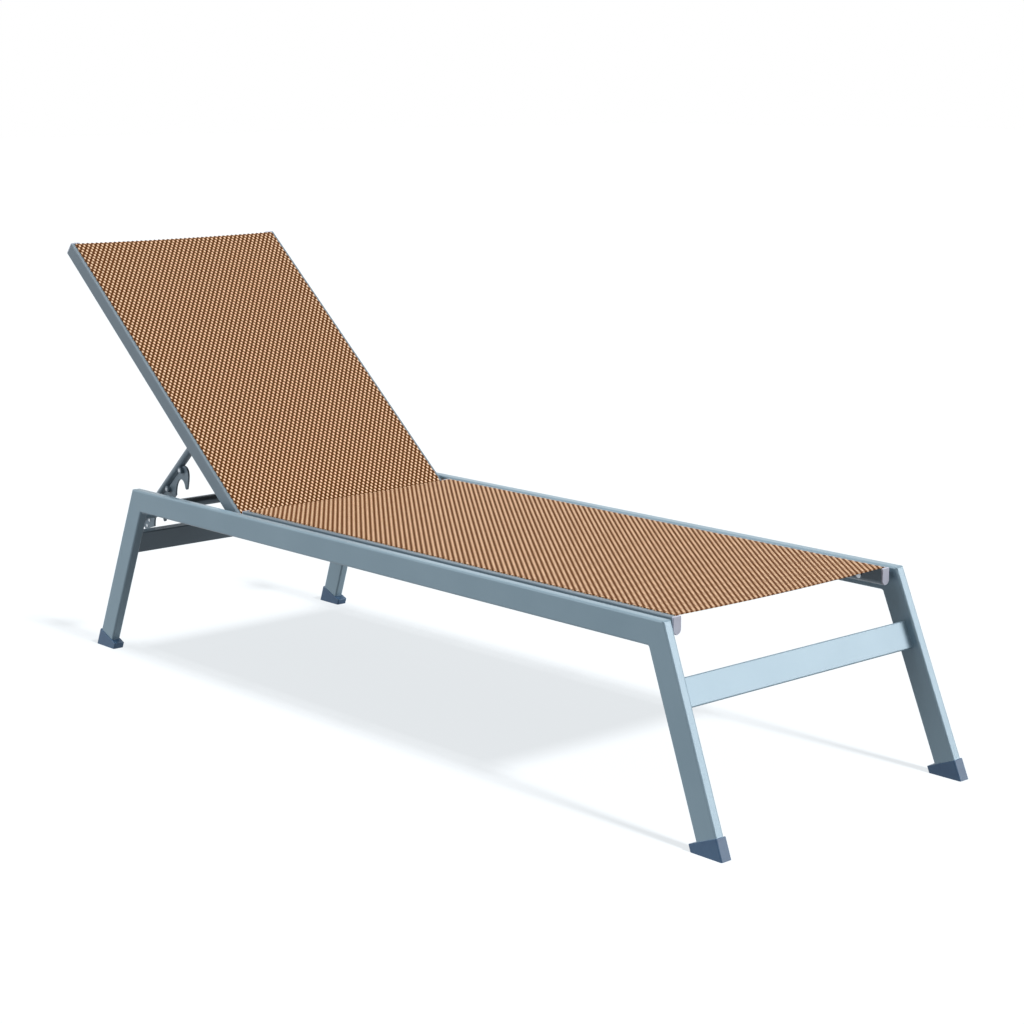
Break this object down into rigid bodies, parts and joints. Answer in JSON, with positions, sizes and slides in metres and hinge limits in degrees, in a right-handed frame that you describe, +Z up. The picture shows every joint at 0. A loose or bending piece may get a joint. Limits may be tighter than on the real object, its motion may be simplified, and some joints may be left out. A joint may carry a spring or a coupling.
{
  "type": "sun lounger",
  "caption": "Sun lounger of flat tube with splayed legs, a taut woven sling seat, and a woven sling back that reclines and is propped up by a hooked bail.",
  "frame": {"origin": "Middle of the lounger's footprint at floor level", "axes": "+X across, +Y from the foot end to the head end, +Z up"},
  "size_m": [0.6272, 1.9988, 0.8603],
  "materials": {
    "frame_metal": "satin blue-grey powder coat",
    "sling_fabric": "woven mesh of cream and brown strands",
    "foot_plastic": "matt dark blue-grey",
    "end_plastic": "matt pale blue-grey",
    "pad_plastic": "matt black",
    "hardware": "plain stainless"
  },
  "bodies": {
    "frame": {"catch_pin_left": "frame_metal", "catch_pin_right": "frame_metal", "crossbar_front": "frame_metal", "crossbar_rear": "frame_metal", "foot_cap_front_left": "foot_plastic", "foot_cap_front_right": "foot_plastic", "foot_cap_rear_left": "foot_plastic", "foot_cap_rear_right": "foot_plastic", "hinge_bolt_left": "hardware", "hinge_bolt_right": "hardware", "hinge_spacer_left": "pad_plastic", "hinge_spacer_right": "pad_plastic", "leg_front_left": "frame_metal", "leg_front_right": "frame_metal", "leg_rear_left": "frame_metal", "leg_rear_right": "frame_metal", "rail_screws": "hardware", "rail_spacers": "pad_plastic", "seat_rail_cap_front_left": "end_plastic", "seat_rail_cap_front_right": "end_plastic", "seat_rail_cap_head_left": "end_plastic", "seat_rail_cap_head_right": "end_plastic", "seat_rail_left": "frame_metal", "seat_rail_right": "frame_metal", "seat_sling": "sling_fabric", "seat_spreader_front": "frame_metal", "seat_spreader_head": "frame_metal", "side_rail_left": "frame_metal", "side_rail_right": "frame_metal", "stop_pad_left": "pad_plastic", "stop_pad_right": "pad_plastic"},
    "back": {"back_cap_bottom_left": "end_plastic", "back_cap_bottom_right": "end_plastic", "back_cap_top_left": "end_plastic", "back_cap_top_right": "end_plastic", "back_rail_left": "frame_metal", "back_rail_right": "frame_metal", "back_sling": "sling_fabric", "back_spreader_lower": "frame_metal", "back_spreader_upper": "frame_metal", "bail_bolt_left": "hardware", "bail_bolt_right": "hardware"},
    "bail": {"bail_cross_tube": "frame_metal", "bail_foot_tube": "frame_metal", "bail_strut_left": "frame_metal", "bail_strut_right": "frame_metal", "hook_plate_left": "frame_metal", "hook_plate_right": "frame_metal", "hook_rivets": "hardware"}
  },
  "joints": [
    {"name": "back_recline", "type": "hinge", "parent": "frame", "child": "back", "pos_m": [0, 0.39053, 0.346], "axis": [1, 0, 0], "range_deg": [-40, 0]},
    {"name": "bail_swing", "type": "hinge", "parent": "back", "child": "bail", "pos_m": [0, 0.55316, 0.48246], "axis": [1, 0, 0], "range_deg": [0, 72]}
  ],
  "couplings": [
    {"joint": "bail_swing", "follows": "back_recline", "ratio": -1.8}
  ]
}
